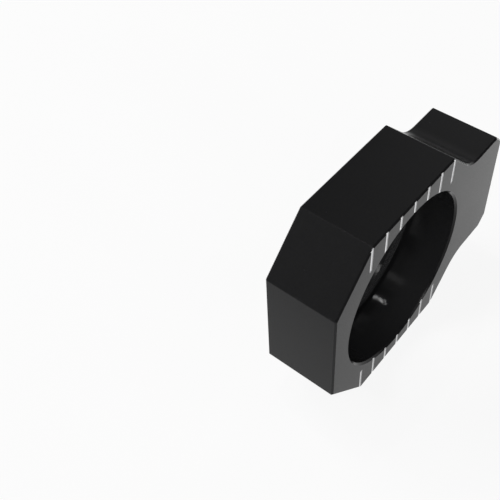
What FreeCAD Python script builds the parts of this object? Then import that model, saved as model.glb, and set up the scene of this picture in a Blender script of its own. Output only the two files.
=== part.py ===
import FreeCAD, Part
import os
from math import radians

import Sketcher

# Motorcycle chain adjuster: one block of machined aluminium that slides in a swingarm slot.
# X runs along the slot, from the nose at -X to the tab at +X. Y goes from the pocket side at -Y
# to the wheel side at +Y, and Z is up. The origin is on the axle's axis, half way through the block.

# Driving sizes in millimetres, and one angle in degrees. A reach is measured from the axle's axis.
SIZES = {
    "blockThickness": 13.7,
    "blockHeight": 39.2,
    "noseReach": 20.8,
    "noseHeight": 20.8,
    "noseTaper": 8.95,
    "rearReach": 12.0,
    "rampAngle": 45.0,
    "coveRadius": 7.2,
    "tabReach": 30.9,
    "tabHeight": 24.0,
    "tabCorner": 2.1,
    "cornerRound": 0.4,
    "edgeBreak": 0.3,
    "wheelSideBreak": 0.15,
    "pocketDiameter": 33.2,
    "pocketDepth": 9.2,
    "rimChamfer": 0.35,
    "floorRadius": 0.2,
    "axleDiameter": 25.0,
    "axleClearance": 0.2,
    "axleChamfer": 1.0,
    "markPitch": 4.0,
    "markCount": 7,
    "markWidth": 0.55,
    "markLength": 5.75,
    "markDepth": 0.08,
    "cutterOverrun": 1.0,
}
NODE = "adjuster_block"
FLAT = 1e-6

doc = FreeCAD.newDocument("ChainAdjuster")
sheet = doc.addObject("Spreadsheet::Sheet", "Sizes")
for row, (alias, value) in enumerate(SIZES.items(), start=1):
    sheet.set(f"A{row}", alias)
    sheet.set(f"B{row}", str(value))
    sheet.setAlias(f"B{row}", alias)
doc.recompute()

body = doc.addObject("PartDesign::Body", "Block")
body.Label = NODE


def origin_item(role):
    return next(item for item in body.Origin.OriginFeatures if item.Role == role)


def new_sketch(name, plane):
    sketch = body.newObject("Sketcher::SketchObject", name)
    sketch.AttachmentSupport = [(origin_item(plane), "")]
    sketch.MapMode = "FlatFace"
    return sketch


# Straight lines through the points in order, closed. Line i starts at point i.
def add_polygon(sketch, points):
    first = sketch.GeometryCount
    corners = [FreeCAD.Vector(x, y, 0) for x, y in points]
    for start, end in zip(corners, corners[1:] + corners[:1]):
        sketch.addGeometry(Part.LineSegment(start, end), False)
    lines = list(range(first, sketch.GeometryCount))
    for line, following in zip(lines, lines[1:] + lines[:1]):
        sketch.addConstraint(Sketcher.Constraint("Coincident", line, 2, following, 1))
    return lines


# A dimension, such as the X distance between two points, bound to an expression of sheet aliases.
def drive(sketch, kind, places, expression):
    value = sketch.evalExpression(expression)
    if kind == "Angle":
        value = radians(value)
    index = sketch.addConstraint(Sketcher.Constraint(kind, *places, value))
    sketch.setExpression(f"Constraints[{index}]", expression)


def settle(feature):
    doc.recompute()
    if feature.State != ["Up-to-date"] or feature.Shape.isNull():
        raise RuntimeError(f"{feature.Label} failed: {feature.State}")


# Edges that run straight through the block along Y, as (name, x, z, edge).
def through_edges(shape):
    thickness = sheet.blockThickness
    for number, edge in enumerate(shape.Edges, start=1):
        box = edge.BoundBox
        if abs(box.YLength - thickness) < FLAT and box.XLength + box.ZLength < FLAT:
            yield f"Edge{number}", box.Center.x, box.Center.z, edge


# Outline of the side view: nose, tapers, top and bottom flats, ramps and tab, the same above and below.
outline = new_sketch("Outline", "XZ_Plane")
nose, taper, flat, ramp, tab_top, tab_end, tab_bottom, low_ramp, low_flat, low_taper = add_polygon(outline, [
    (-21, -10), (-21, 10), (-12, 20), (12, 20), (19, 12),
    (31, 12), (31, -12), (19, -12), (12, -20), (-12, -20)])
for upper, lower in ((taper, nose), (flat, low_taper), (ramp, low_flat),
                     (tab_top, low_ramp), (tab_end, tab_bottom)):
    outline.addConstraint(Sketcher.Constraint("Symmetric", lower, 1, upper, 1, -1))
for level in (flat, tab_top):
    outline.addConstraint(Sketcher.Constraint("Horizontal", level))
drive(outline, "DistanceX", (nose, 1, -1, 1), "Sizes.noseReach")
drive(outline, "DistanceY", (nose, 1, nose, 2), "Sizes.noseHeight")
drive(outline, "DistanceX", (taper, 1, taper, 2), "Sizes.noseTaper")
drive(outline, "DistanceY", (low_taper, 1, flat, 1), "Sizes.blockHeight")
drive(outline, "DistanceX", (-1, 1, ramp, 1), "Sizes.rearReach")
drive(outline, "Angle", (tab_top, 1, ramp, 2), "180 - Sizes.rampAngle")
drive(outline, "DistanceX", (-1, 1, tab_end, 1), "Sizes.tabReach")
drive(outline, "DistanceY", (tab_bottom, 1, tab_end, 1), "Sizes.tabHeight")

block = body.newObject("PartDesign::Pad", "BlockBlank")
block.Profile = outline
block.Midplane = True
block.setExpression("Length", "Sizes.blockThickness")
settle(block)

# Where the ramps run out into the tab they end in a round cove.
coves = body.newObject("PartDesign::Fillet", "TabCoves")
coves.Base = (block, [name for name, x, z, edge in through_edges(block.Shape)
                      if abs(abs(z) - sheet.tabHeight / 2) < FLAT and x < sheet.tabReach - FLAT])
coves.setExpression("Radius", "Sizes.coveRadius")
settle(coves)

tab_corners = body.newObject("PartDesign::Chamfer", "TabCorners")
tab_corners.Base = (coves, [name for name, x, z, edge in through_edges(coves.Shape)
                            if abs(x - sheet.tabReach) < FLAT])
tab_corners.setExpression("Size", "Sizes.tabCorner")
settle(tab_corners)


# A corner is sharp where both of its faces are flat; a cove's own ends are smooth already.
def is_sharp(shape, edge):
    faces = shape.ancestorsOfType(edge, Part.Face)
    return all(face.Surface.TypeId == "Part::GeomPlane" for face in faces)


rounds = body.newObject("PartDesign::Fillet", "CornerRounds")
rounds.Base = (tab_corners, [name for name, x, z, edge in through_edges(tab_corners.Shape)
                             if is_sharp(tab_corners.Shape, edge)])
rounds.setExpression("Radius", "Sizes.cornerRound")
settle(rounds)

# The flat side of the block that faces along Y the given way, -1 for the pocket side.
def flat_side(shape, way):
    return [f"Face{number}" for number, face in enumerate(shape.Faces, start=1)
            if face.BoundBox.YLength < FLAT and face.BoundBox.Center.y * way > 0]


# Both flat sides have their whole rim broken by a small chamfer, finer on the wheel side.
breaks = body.newObject("PartDesign::Chamfer", "PocketSideBreak")
breaks.Base = (rounds, flat_side(rounds.Shape, -1))
breaks.setExpression("Size", "Sizes.edgeBreak")
settle(breaks)

wheel_breaks = body.newObject("PartDesign::Chamfer", "WheelSideBreak")
wheel_breaks.Base = (breaks, flat_side(breaks.Shape, 1))
wheel_breaks.setExpression("Size", "Sizes.wheelSideBreak")
settle(wheel_breaks)

# The bore in one turned profile: rim chamfer, pocket for the axle's head, and the axle hole in its floor.
profile = new_sketch("BoreProfile", "XY_Plane")
mouth, rim, wall, floor, hole_mouth, hole, hole_end, back, axis = add_polygon(profile, [
    (0, -8), (18, -8), (16, -6), (16, 2), (14, 2), (13, 3), (13, 6), (15, 8), (0, 8)])
for level in (mouth, floor, back):
    profile.addConstraint(Sketcher.Constraint("Horizontal", level))
for upright in (wall, hole, axis):
    profile.addConstraint(Sketcher.Constraint("Vertical", upright))
profile.addConstraint(Sketcher.Constraint("PointOnObject", mouth, 1, -2))
drive(profile, "DistanceY", (mouth, 1, -1, 1), "Sizes.blockThickness / 2 + Sizes.cutterOverrun")
drive(profile, "DistanceY", (rim, 1, rim, 2), "Sizes.rimChamfer + Sizes.cutterOverrun")
drive(profile, "DistanceX", (rim, 2, rim, 1), "Sizes.rimChamfer + Sizes.cutterOverrun")
drive(profile, "DistanceX", (-1, 1, wall, 1), "Sizes.pocketDiameter / 2")
drive(profile, "DistanceY", (mouth, 1, floor, 1), "Sizes.pocketDepth + Sizes.cutterOverrun")
drive(profile, "DistanceX", (-1, 1, hole, 1), "(Sizes.axleDiameter + Sizes.axleClearance) / 2")
drive(profile, "DistanceX", (hole_mouth, 2, hole_mouth, 1), "Sizes.axleChamfer")
drive(profile, "DistanceY", (hole_mouth, 1, hole_mouth, 2), "Sizes.axleChamfer")
drive(profile, "DistanceX", (hole_end, 1, hole_end, 2), "Sizes.axleChamfer + Sizes.cutterOverrun")
drive(profile, "DistanceY", (hole_end, 1, hole_end, 2), "Sizes.axleChamfer + Sizes.cutterOverrun")
drive(profile, "DistanceY", (-1, 1, back, 1), "Sizes.blockThickness / 2 + Sizes.cutterOverrun")

bore = body.newObject("PartDesign::Groove", "AxleBore")
bore.Profile = profile
bore.ReferenceAxis = (profile, ["V_Axis"])
bore.Angle = 360
settle(bore)


# The pocket's floor meets its wall in the small radius that the cutter leaves.
def floor_edges(shape):
    depth = sheet.pocketDepth - sheet.blockThickness / 2
    for number, edge in enumerate(shape.Edges, start=1):
        box = edge.BoundBox
        at_floor = box.YLength < FLAT and abs(box.Center.y - depth) < FLAT
        if at_floor and abs(box.XLength - sheet.pocketDiameter) < FLAT:
            yield f"Edge{number}"


floor_round = body.newObject("PartDesign::Fillet", "PocketFloorRadius")
floor_round.Base = (bore, list(floor_edges(bore.Shape)))
floor_round.setExpression("Radius", "Sizes.floorRadius")
settle(floor_round)

# Index marks: one shallow cut at the top edge and one at the bottom, then a row of them along the block.
marks = new_sketch("FirstMarks", "XZ_Plane")
marks.setExpression("AttachmentOffset.Base.z", "Sizes.blockThickness / 2")
top_mark = add_polygon(marks, [(-12, 14), (-12, 21), (-11, 21), (-11, 14)])
low_mark = add_polygon(marks, [(-12, -14), (-12, -21), (-11, -21), (-11, -14)])
for left, outer, right, inner in (top_mark, low_mark):
    for upright in (left, right):
        marks.addConstraint(Sketcher.Constraint("Vertical", upright))
    for level in (outer, inner):
        marks.addConstraint(Sketcher.Constraint("Horizontal", level))
for corner in (0, 2):
    marks.addConstraint(Sketcher.Constraint("Symmetric", low_mark[corner], 1, top_mark[corner], 1, -1))
left, outer, right, inner = top_mark
drive(marks, "DistanceX", (left, 1, -1, 1),
      "(Sizes.markCount - 1) / 2 * Sizes.markPitch + Sizes.markWidth / 2")
drive(marks, "DistanceX", (left, 1, right, 2), "Sizes.markWidth")
drive(marks, "DistanceY", (-1, 1, outer, 1), "Sizes.blockHeight / 2 + Sizes.cutterOverrun")
drive(marks, "DistanceY", (left, 1, left, 2), "Sizes.markLength + Sizes.cutterOverrun")

first_marks = body.newObject("PartDesign::Pocket", "FirstMarksCut")
first_marks.Profile = marks
first_marks.setExpression("Length", "Sizes.markDepth")
settle(first_marks)

mark_row = body.newObject("PartDesign::LinearPattern", "IndexMarks")
mark_row.Originals = [first_marks]
mark_row.Direction = (origin_item("X_Axis"), [""])
mark_row.setExpression("Length", "(Sizes.markCount - 1) * Sizes.markPitch")
mark_row.setExpression("Occurrences", "Sizes.markCount")
body.Tip = mark_row
settle(mark_row)

# Every sketch is fully set by the sheet, and every cut takes something away.
for sketch in (outline, profile, marks):
    if not sketch.FullyConstrained:
        raise RuntimeError(f"{sketch.Label} isn't fully constrained")
for before, after in ((coves, tab_corners), (tab_corners, rounds), (rounds, breaks),
                      (breaks, wheel_breaks), (wheel_breaks, bore),
                      (floor_round, first_marks), (first_marks, mark_row)):
    if after.Shape.Volume >= before.Shape.Volume:
        raise RuntimeError(f"{after.Label} takes nothing away")
for item in doc.Objects:
    if "Invalid" in item.State or "Error" in item.State:
        raise RuntimeError(f"{item.Label} is in state {item.State}")
if body.Shape.isNull() or not body.Shape.isValid():
    raise RuntimeError(f"{body.Label} has no valid shape")

os.makedirs("parts", exist_ok=True)
body.Shape.exportStep(f"parts/{body.Label}.step")
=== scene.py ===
import bpy
import bmesh
import math
from mathutils import Euler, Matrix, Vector


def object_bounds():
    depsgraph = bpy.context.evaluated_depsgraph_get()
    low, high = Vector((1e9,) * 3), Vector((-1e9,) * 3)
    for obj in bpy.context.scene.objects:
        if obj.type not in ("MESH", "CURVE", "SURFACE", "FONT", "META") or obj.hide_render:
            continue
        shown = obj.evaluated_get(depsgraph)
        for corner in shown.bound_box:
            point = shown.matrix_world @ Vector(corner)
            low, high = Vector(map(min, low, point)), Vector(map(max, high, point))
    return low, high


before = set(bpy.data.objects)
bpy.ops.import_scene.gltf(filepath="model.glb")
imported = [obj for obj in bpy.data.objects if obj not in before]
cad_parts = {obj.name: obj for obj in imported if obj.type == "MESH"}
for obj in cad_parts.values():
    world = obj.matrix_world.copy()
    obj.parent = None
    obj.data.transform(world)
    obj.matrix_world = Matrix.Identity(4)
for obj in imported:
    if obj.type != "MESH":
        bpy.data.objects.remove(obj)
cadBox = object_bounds()
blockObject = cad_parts["adjuster_block"]
millimetre = 0.001
print("frame: loaded", sorted(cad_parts))


# Camera: lens, frame shift and place of the photograph's own viewpoint.
cameraValues = {
    "lens": 61.868,  # mm
    "sensorWidth": 36,  # mm
    "shift": (-0.09029, -0.12584),  # the frame lies left of and below the lens axis
    "place": (-83.499, -48.076, 117.211),  # mm from the axle's axis
    "turn": (44.0489, 0.2008, -52.2564),  # degrees
    "sees": (0.005, 50),  # nearest and furthest, in metres
}


def makeCamera(values):
    data = bpy.data.cameras.new("photoCamera")
    data.lens = values["lens"]
    data.sensor_width = values["sensorWidth"]
    data.shift_x, data.shift_y = values["shift"]
    data.clip_start, data.clip_end = values["sees"]
    camera = bpy.data.objects.new("photoCamera", data)
    bpy.context.scene.collection.objects.link(camera)
    camera.location = Vector(values["place"]) * millimetre
    camera.rotation_euler = Euler([math.radians(angle) for angle in values["turn"]])
    bpy.context.scene.camera = camera


makeCamera(cameraValues)
print("camera: set")


# Shader trees: short calls that add a node and return the socket that carries its result.
def feed(tree, socket, value):
    if isinstance(value, bpy.types.NodeSocket):
        tree.links.new(value, socket)
    else:
        socket.default_value = value


def calc(tree, operation, *values):
    node = tree.nodes.new("ShaderNodeMath")
    node.operation = operation
    for socket, value in zip(node.inputs, values):
        feed(tree, socket, value)
    return node.outputs[0]


def vectorCalc(tree, operation, *values):
    node = tree.nodes.new("ShaderNodeVectorMath")
    node.operation = operation
    for socket, value in zip(node.inputs, values):
        feed(tree, socket, value)
    return node.outputs["Value" if operation == "LENGTH" else "Vector"]


def scaled(tree, vector, factor):
    node = tree.nodes.new("ShaderNodeVectorMath")
    node.operation = "SCALE"
    feed(tree, node.inputs["Vector"], vector)
    feed(tree, node.inputs["Scale"], factor)
    return node.outputs["Vector"]


def split(tree, vector):
    node = tree.nodes.new("ShaderNodeSeparateXYZ")
    feed(tree, node.inputs[0], vector)
    return node.outputs[:]


def joined(tree, x, y, z):
    node = tree.nodes.new("ShaderNodeCombineXYZ")
    for socket, value in zip(node.inputs, (x, y, z)):
        feed(tree, socket, value)
    return node.outputs[0]


def ramp(tree, value, start, end, first=0.0, last=1.0, smooth=True):
    node = tree.nodes.new("ShaderNodeMapRange")
    node.interpolation_type = "SMOOTHSTEP" if smooth else "LINEAR"
    for socket, given in zip(node.inputs, (value, start, end, first, last)):
        feed(tree, socket, given)
    return node.outputs["Result"]


def noise(tree, place, size, detail=2.0, output="Fac"):
    node = tree.nodes.new("ShaderNodeTexNoise")
    oneWay = not isinstance(place, bpy.types.NodeSocketVector)
    node.noise_dimensions = "1D" if oneWay else "3D"
    feed(tree, node.inputs["W" if oneWay else "Vector"], place)
    node.inputs["Scale"].default_value = 1 / size
    node.inputs["Detail"].default_value = detail
    return node.outputs[output]


def sway(tree, place, size, detail=2.0):  # noise to both sides of nothing
    return calc(tree, "SUBTRACT", noise(tree, place, size, detail), 0.5)


def cells(tree, place, size):
    node = tree.nodes.new("ShaderNodeTexVoronoi")
    feed(tree, node.inputs["Vector"], place)
    node.inputs["Scale"].default_value = 1 / size
    return node.outputs["Distance"]


def mixValue(tree, share, first, second):
    node = tree.nodes.new("ShaderNodeMix")
    feed(tree, node.inputs[0], share)
    feed(tree, node.inputs["A"], first)
    feed(tree, node.inputs["B"], second)
    return node.outputs["Result"]


def mixColour(tree, share, first, second):
    node = tree.nodes.new("ShaderNodeMix")
    node.data_type = "RGBA"
    feed(tree, node.inputs["Factor"], share)
    for socket, colour in zip([s for s in node.inputs if s.type == "RGBA"], (first, second)):
        feed(tree, socket, colour)
    return [s for s in node.outputs if s.type == "RGBA"][0]


# Floor: a pale disc, lifted towards white where the camera, gloss or glass sees it.
# Part of its own light stays, and the object's soft shadow with it.
# What gloss sees of it is brighter towards the tab end, as if a pool of light lay there,
# and a little darker close to the block, where the block keeps light off it.
floorValues = {
    "radius": 2.4,  # metres, as the two reaches
    "sides": 96,
    "colour": (0.9, 0.9, 0.9, 1),
    "lift": 0.90,  # share of plain white that the camera sees
    "glossLift": 0.85,  # share of the glow that gloss and glass see
    "glossGlow": 1.42,
    "poolReach": 0.060,  # to each side of the axle
    "poolShare": 0.29,  # brighter at the tab end, and darker at the nose end
    "contactReach": 0.012,
    "contactShare": 0.14,  # darker beside the block
}


def makeFloorFinish(values):
    material = bpy.data.materials.new("paleFloor")
    material.use_nodes = True
    tree = material.node_tree
    tree.nodes.clear()
    x, y, z = split(tree, tree.nodes.new("ShaderNodeTexCoord").outputs["Object"])
    reach, share = values["poolReach"], values["poolShare"]
    pool = ramp(tree, x, -reach, reach, 1 - share, 1 + share, smooth=False)
    away = 0.0
    for place, nearSide, farSide in (
        (x, cadBox[0].x, cadBox[1].x),
        (y, cadBox[0].y, cadBox[1].y),
    ):
        away = calc(tree, "MAXIMUM", away, calc(tree, "SUBTRACT", nearSide, place))
        away = calc(tree, "MAXIMUM", away, calc(tree, "SUBTRACT", place, farSide))
    darkest = 1 - values["contactShare"]
    contact = ramp(tree, away, 0.0, values["contactReach"], darkest, 1.0, smooth=False)
    inGloss = calc(tree, "MULTIPLY", calc(tree, "MULTIPLY", pool, contact), values["glossGlow"])
    path = tree.nodes.new("ShaderNodeLightPath")
    glow = tree.nodes.new("ShaderNodeEmission")
    strength = mixValue(tree, path.outputs["Is Camera Ray"], inGloss, 1.0)
    feed(tree, glow.inputs["Strength"], strength)
    diffuse = tree.nodes.new("ShaderNodeBsdfDiffuse")
    diffuse.inputs["Color"].default_value = values["colour"]
    byCamera = calc(tree, "MULTIPLY", path.outputs["Is Camera Ray"], values["lift"])
    glossOrGlass = (path.outputs["Is Glossy Ray"], path.outputs["Is Transmission Ray"])
    byGloss = calc(tree, "MULTIPLY", calc(tree, "MAXIMUM", *glossOrGlass), values["glossLift"])
    blend = tree.nodes.new("ShaderNodeMixShader")
    tree.links.new(calc(tree, "MAXIMUM", byCamera, byGloss), blend.inputs["Fac"])
    tree.links.new(diffuse.outputs[0], blend.inputs[1])
    tree.links.new(glow.outputs[0], blend.inputs[2])
    output = tree.nodes.new("ShaderNodeOutputMaterial")
    tree.links.new(blend.outputs[0], output.inputs["Surface"])
    return material


def makeFloor(values, height):
    mesh = bpy.data.meshes.new("floor")
    disc = bmesh.new()
    bmesh.ops.create_circle(
        disc, cap_ends=True, segments=values["sides"], radius=values["radius"]
    )
    bmesh.ops.translate(disc, verts=disc.verts, vec=(0, 0, height))
    disc.to_mesh(mesh)
    disc.free()
    floor = bpy.data.objects.new("floor", mesh)
    bpy.context.scene.collection.objects.link(floor)
    mesh.materials.append(makeFloorFinish(values))


makeFloor(floorValues, cadBox[0].z)


# Lamps: azimuth 0 is the pocket side, 90 the tab end and 270 the nose, in degrees.
# Distances and sizes are in metres. Each lamp is a soft box unless it says otherwise.
# A lamp of level 1 lights a surface that faces it to the surface's own colour.
softBox = {"distance": 0.96, "size": (0.36, 0.36)}
lampValues = {
    "rearLamp": {"azimuth": 210, "elevation": 25, "level": 0.445},
    "rearTopLamp": {"azimuth": 180, "elevation": 45, "level": 0.31},
    "noseLamp": {"azimuth": 300, "elevation": 10, "level": 0.12},
    "cornerLamp": {"azimuth": 330, "elevation": 25, "level": 0.09},
    "frontLamp": {"azimuth": 0, "elevation": 10, "level": 0.092},
    "frontTopLamp": {"azimuth": 30, "elevation": 45, "level": 0.070},
    "tabLamp": {"azimuth": 105, "elevation": 35, "level": 0.082, "size": (0.36, 0.72)},
    "backStrip": {"azimuth": 241, "elevation": 43, "level": 0.068, "size": (0.36, 1.00)},
    # Three small ones make the bright spots in the pocket: the glow on its wall,
    # the streak on its seat, and the glint of light that comes through the hole.
    "wallLamp": {
        "azimuth": 241, "elevation": 56, "level": 0.017, "distance": 0.8, "size": (0.09, 0.12)
    },
    "seatLamp": {
        "azimuth": 353, "elevation": 17, "level": 0.083, "distance": 0.8, "size": (0.10, 0.10)
    },
    "boreLamp": {
        "azimuth": 169, "elevation": 73.6, "level": 0.078, "distance": 0.8, "size": (0.03, 0.03)
    },
}


def makeLamps(lamps, centre):
    for name, given in lamps.items():
        values = {**softBox, **given}
        azimuth, elevation = math.radians(values["azimuth"]), math.radians(values["elevation"])
        towards = Vector((
            math.sin(azimuth) * math.cos(elevation),
            -math.cos(azimuth) * math.cos(elevation),
            math.sin(elevation),
        ))
        data = bpy.data.lights.new(name, "AREA")
        data.shape = "RECTANGLE"
        data.size, data.size_y = values["size"]
        data.energy = values["level"] * (math.pi * values["distance"]) ** 2
        lamp = bpy.data.objects.new(name, data)
        bpy.context.scene.collection.objects.link(lamp)
        lamp.visible_camera = False
        lamp.location = centre + towards * values["distance"]
        lamp.rotation_euler = towards.to_track_quat("Z", "Y").to_euler()


makeLamps(lampValues, (cadBox[0] + cadBox[1]) / 2)


# Air: pale round the horizon, and dark overhead as in a studio.
airValues = {
    "seen": 1.0,  # behind the object
    "pale": 0.10,
    "dark": 0.03,
    "paleUpTo": 0.10,  # sine of the elevation, as the next
    "darkFrom": 0.25,
}


def makeAir(values):
    world = bpy.data.worlds.new("studioAir")
    bpy.context.scene.world = world
    world.use_nodes = True
    tree = world.node_tree
    tree.nodes.clear()
    place = tree.nodes.new("ShaderNodeTexCoord")
    height = split(tree, place.outputs["Generated"])[2]
    level = ramp(
        tree, height, values["paleUpTo"], values["darkFrom"], values["pale"], values["dark"]
    )
    path = tree.nodes.new("ShaderNodeLightPath")
    background = tree.nodes.new("ShaderNodeBackground")
    colour = mixValue(tree, path.outputs["Is Camera Ray"], level, values["seen"])
    feed(tree, background.inputs["Color"], colour)
    output = tree.nodes.new("ShaderNodeOutputWorld")
    tree.links.new(background.outputs[0], output.inputs["Surface"])


makeAir(airValues)
bpy.context.scene.view_settings.view_transform = "Standard"
print("studio: floor, lamps and air made")


# The block in millimetres: its box's two corners, and the sizes that the box doesn't give.
low, high = (corner / millimetre for corner in cadBox)
blockSizes = {
    "noseHeight": 20.8,
    "noseTaper": 8.95,
    "rearReach": 12.0,
    "tabHeight": 24.0,
    "tabCorner": 2.1,
    "pocketRadius": 16.6,
    "rimChamfer": 0.35,
    "markPitch": 4.0,
    "markCount": 7,
    "markWidth": 0.55,
    "markLength": 5.75,
    "markDepth": 0.08,
}


# Shader groups, one for each thing that machining and anodising leave on the block.
# Places and sizes in them are in millimetres.
def newGroup(name, takes, gives):
    tree = bpy.data.node_groups.new(name, "ShaderNodeTree")
    for way, sockets in (("INPUT", takes), ("OUTPUT", gives)):
        for label, kind in sockets.items():
            tree.interface.new_socket(label, in_out=way, socket_type="NodeSocket" + kind)
    inside, outside = tree.nodes.new("NodeGroupInput"), tree.nodes.new("NodeGroupOutput")
    return tree, inside.outputs, outside.inputs


def useGroup(tree, name, **given):
    node = tree.nodes.new("ShaderNodeGroup")
    node.node_tree = bpy.data.node_groups[name]
    for label, value in given.items():
        feed(tree, node.inputs[label], value)
    return node.outputs


# The blasted skin: fine pits, cloudy and speckled dye, and now and then a pale fleck.
grainValues = {
    "pit": 0.18,
    "cloud": 5.6,
    "cloudDetail": 3.0,
    "speck": 0.4,
    "speckShare": 0.75,
    "fleckSize": 0.12,
    "fleckEvery": 3.2,
}


def makeBlastGrain(values):
    takes = {"Place": "Vector", "Strength": "Float"}
    gives = {"Tone": "Float", "Fleck": "Float", "Lean": "Vector"}
    tree, given, result = newGroup("blastGrain", takes, gives)
    clouds = noise(tree, given["Place"], values["cloud"], values["cloudDetail"])
    specks = noise(tree, given["Place"], values["speck"])
    feed(tree, result["Tone"], mixValue(tree, values["speckShare"], clouds, specks))
    size = values["fleckSize"] / values["fleckEvery"]
    spot = cells(tree, given["Place"], values["fleckEvery"])
    feed(tree, result["Fleck"], ramp(tree, spot, size / 2, size, 1.0, 0.0))
    pits = noise(tree, given["Place"], values["pit"], output="Color")
    lean = vectorCalc(tree, "SUBTRACT", pits, (0.5, 0.5, 0.5))
    feed(tree, result["Lean"], scaled(tree, lean, given["Strength"]))


makeBlastGrain(grainValues)


# The turned pocket and hole: ridges of the cutter's feed, slow bands and slight waves.
# The feed runs along the wall and across the floor.
turnedValues = {
    "floorFacing": (0.5, 0.8),  # how far a face turns to the axle's axis, from wall to floor
    "seatFacing": (0.9, 0.98),
    "feed": 0.024,
    "feedDetail": 1.0,
    "ridge": 0.15,
    "floorRidge": 0.06,
    "band": 0.28,
    "swell": 0.04,
    "waveSize": 0.64,
    "wave": 0.02,
    "margin": 0.1,
}


def makeTurnedPocket(values):
    takes = {"Place": "Vector", "Facing": "Vector"}
    gives = {"Lean": "Vector", "Inside": "Float", "Seat": "Float"}
    tree, given, result = newGroup("turnedPocket", takes, gives)
    along = split(tree, given["Place"])[1]
    across = vectorCalc(tree, "MULTIPLY", given["Place"], (1, 0, 1))
    radius = vectorCalc(tree, "LENGTH", across)
    inside = calc(tree, "LESS_THAN", radius, blockSizes["pocketRadius"] + values["margin"])
    rimEnd = low.y + blockSizes["rimChamfer"]
    for test in (
        calc(tree, "GREATER_THAN", along, rimEnd - values["margin"]),
        calc(tree, "LESS_THAN", along, high.y - values["margin"]),
    ):
        inside = calc(tree, "MULTIPLY", inside, test)
    faceOn = calc(tree, "ABSOLUTE", split(tree, given["Facing"])[1])
    onFloor = ramp(tree, faceOn, *values["floorFacing"])
    onWall = calc(tree, "SUBTRACT", 1.0, onFloor)
    seatPaintedLight = ramp(tree, faceOn, *values["seatFacing"])
    rings = mixValue(tree, onFloor, along, radius)
    ridgeHeight = mixValue(tree, onFloor, values["ridge"], values["floorRidge"])
    ridges = sway(tree, rings, values["feed"], values["feedDetail"])
    ridges = calc(tree, "MULTIPLY", ridges, ridgeHeight)
    bands = calc(tree, "MULTIPLY", sway(tree, rings, values["band"]), values["swell"])
    waves = sway(tree, given["Place"], values["waveSize"])
    outward = vectorCalc(tree, "NORMALIZE", across)
    roundWay = vectorCalc(tree, "CROSS_PRODUCT", outward, (0, 1, 0))
    onFloorWay, onWallWay = scaled(tree, outward, onFloor), scaled(tree, (0, 1, 0), onWall)
    feedWay = vectorCalc(tree, "ADD", onFloorWay, onWallWay)
    feedLean = scaled(tree, feedWay, calc(tree, "ADD", ridges, bands))
    roundLean = scaled(tree, roundWay, calc(tree, "MULTIPLY", waves, values["wave"]))
    lean = vectorCalc(tree, "ADD", feedLean, roundLean)
    feed(tree, result["Lean"], scaled(tree, lean, inside))
    feed(tree, result["Inside"], inside)
    feed(tree, result["Seat"], calc(tree, "MULTIPLY", inside, seatPaintedLight))


makeTurnedPocket(turnedValues)


# Edges: rubbed patches on the outline's corners and on the chamfers round both flat sides.
edgeValues = {
    "reach": 0.36,
    "fullWithin": 0.4,  # share of the reach
    "cornerShare": 0.5,
    "chamferFacing": ((0.2, 0.5), (0.85, 0.97)),  # from the outline, and to the flat side
    "chamferShare": 0.10,
    "patchSize": 0.64,
    "patchDetail": 3.0,
    "patchRange": (0.45, 0.75),
}


def makeEdgeWear(values):
    takes = {"Place": "Vector", "Facing": "Vector"}
    tree, given, result = newGroup("edgeWear", takes, {"Mask": "Float", "Chamfer": "Float"})
    x, y, z = split(tree, given["Place"])
    height = calc(tree, "ABSOLUTE", z)
    nearest = values["reach"]
    for cornerX, cornerZ in (
        (low.x, blockSizes["noseHeight"] / 2),
        (low.x + blockSizes["noseTaper"], high.z),
        (blockSizes["rearReach"], high.z),
        (high.x - blockSizes["tabCorner"], blockSizes["tabHeight"] / 2),
        (high.x, blockSizes["tabHeight"] / 2 - blockSizes["tabCorner"]),
    ):
        sideways = calc(tree, "SUBTRACT", x, cornerX)
        upwards = calc(tree, "SUBTRACT", height, cornerZ)
        away = vectorCalc(tree, "LENGTH", joined(tree, sideways, 0.0, upwards))
        nearest = calc(tree, "MINIMUM", away, nearest)
    fullReach = values["reach"] * values["fullWithin"]
    corners = ramp(tree, nearest, fullReach, values["reach"], 1.0, 0.0)
    corners = calc(tree, "MULTIPLY", corners, values["cornerShare"])
    faceOn = calc(tree, "ABSOLUTE", split(tree, given["Facing"])[1])
    fromOutline, toFlat = values["chamferFacing"]
    pastOutline = ramp(tree, faceOn, *fromOutline)
    chamfers = calc(tree, "MULTIPLY", pastOutline, ramp(tree, faceOn, *toFlat, 1.0, 0.0))
    feed(tree, result["Chamfer"], chamfers)
    chamfers = calc(tree, "MULTIPLY", chamfers, values["chamferShare"])
    patches = noise(tree, given["Place"], values["patchSize"], values["patchDetail"])
    patches = ramp(tree, patches, *values["patchRange"])
    edges = calc(tree, "MAXIMUM", corners, chamfers)
    feed(tree, result["Mask"], calc(tree, "MULTIPLY", edges, patches))


makeEdgeWear(edgeValues)


# The index marks: bare metal in the cuts at the top and bottom edge, scratched across.
markValues = {
    "margin": 0.02,
    "scratch": 0.05,
}


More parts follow.
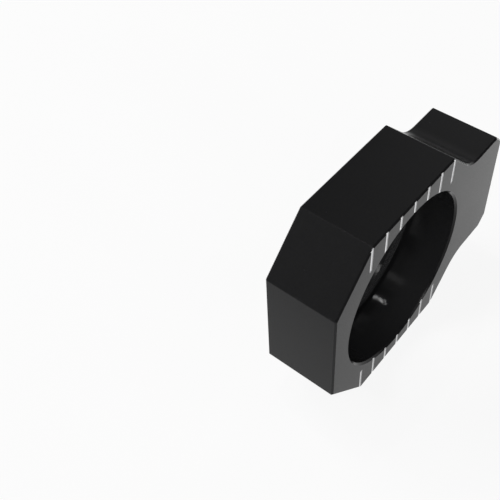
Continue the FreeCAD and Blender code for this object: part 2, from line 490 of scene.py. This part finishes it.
def makeCutMarks(values):
    gives = {"Mask": "Float", "Tone": "Float"}
    tree, given, result = newGroup("cutMarks", {"Place": "Vector"}, gives)
    x, y, z = split(tree, given["Place"])
    pitch, margin = blockSizes["markPitch"], values["margin"]
    steps = calc(tree, "DIVIDE", x, pitch)
    offset = calc(tree, "SUBTRACT", steps, calc(tree, "ROUND", steps))
    offset = calc(tree, "ABSOLUTE", calc(tree, "MULTIPLY", offset, pitch))
    mask = calc(tree, "LESS_THAN", offset, blockSizes["markWidth"] / 2 + margin)
    reach = blockSizes["markCount"] / 2 * pitch
    inner = high.z - blockSizes["markLength"] - margin
    for test in (
        calc(tree, "LESS_THAN", calc(tree, "ABSOLUTE", x), reach),
        calc(tree, "GREATER_THAN", calc(tree, "ABSOLUTE", z), inner),
        calc(tree, "LESS_THAN", y, low.y + blockSizes["markDepth"] + margin),
    ):
        mask = calc(tree, "MULTIPLY", mask, test)
    feed(tree, result["Mask"], mask)
    feed(tree, result["Tone"], noise(tree, z, values["scratch"]))


makeCutMarks(markValues)


# Black anodised aluminium, with what the groups give laid over it.
finishValues = {
    "darkest": (0.0112, 0.0112, 0.0117, 1),
    "palest": (0.0164, 0.0164, 0.0170, 1),
    "fleck": (0.040, 0.040, 0.042, 1),
    "wornEdge": (0.022, 0.022, 0.023, 1),
    "seatPaintedLight": (0.034, 0.034, 0.035, 1),  # painted light: the pocket's seat painted paler for the light that falls on it
    "bareMetal": (0.55, 0.55, 0.555, 1),
    "toneRange": (0.2, 0.8),
    "roughness": (0.27, 0.33),  # where the dye is darkest and palest
    "chamferRoughness": 0.16,
    "turnedRoughness": 0.10,
    "scratchRange": (0.3, 0.7),
    "bareRoughness": (0.34, 0.50),
    "grain": 0.10,
    "ior": 1.15,
}


def makeAnodised(values):
    material = bpy.data.materials.new("blackAnodised")
    material.use_nodes = True
    tree = material.node_tree
    shader = tree.nodes["Principled BSDF"]
    coordinates = tree.nodes.new("ShaderNodeTexCoord")
    place = scaled(tree, coordinates.outputs["Object"], 1 / millimetre)
    facing = coordinates.outputs["Normal"]
    grain = useGroup(tree, "blastGrain", Place=place, Strength=values["grain"])
    turned = useGroup(tree, "turnedPocket", Place=place, Facing=facing)
    wear = useGroup(tree, "edgeWear", Place=place, Facing=facing)
    marks = useGroup(tree, "cutMarks", Place=place)
    colour = mixColour(tree, grain["Tone"], values["darkest"], values["palest"])
    for mask, over in (
        (grain["Fleck"], "fleck"),
        (turned["Seat"], "seatPaintedLight"),
        # The seat's paler colour stands in for the light that falls on it: painted light.
        (wear["Mask"], "wornEdge"),
        (marks["Mask"], "bareMetal"),
    ):
        colour = mixColour(tree, mask, colour, values[over])
    feed(tree, shader.inputs["Base Color"], colour)
    rough = ramp(tree, grain["Tone"], *values["toneRange"], *values["roughness"])
    scratched = ramp(tree, marks["Tone"], *values["scratchRange"], *values["bareRoughness"])
    for mask, over in (
        (wear["Chamfer"], values["chamferRoughness"]),
        (turned["Inside"], values["turnedRoughness"]),
        (marks["Mask"], scratched),
    ):
        rough = mixValue(tree, mask, rough, over)
    feed(tree, shader.inputs["Roughness"], rough)
    feed(tree, shader.inputs["Metallic"], marks["Mask"])
    shader.inputs["IOR"].default_value = values["ior"]
    lean = vectorCalc(tree, "ADD", vectorCalc(tree, "ADD", facing, grain["Lean"]), turned["Lean"])
    toWorld = tree.nodes.new("ShaderNodeVectorTransform")
    toWorld.vector_type, toWorld.convert_from, toWorld.convert_to = "NORMAL", "OBJECT", "WORLD"
    feed(tree, toWorld.inputs[0], vectorCalc(tree, "NORMALIZE", lean))
    feed(tree, shader.inputs["Normal"], toWorld.outputs[0])
    return material


blockObject.material_slots[0].material = makeAnodised(finishValues)
print("block: finish made")
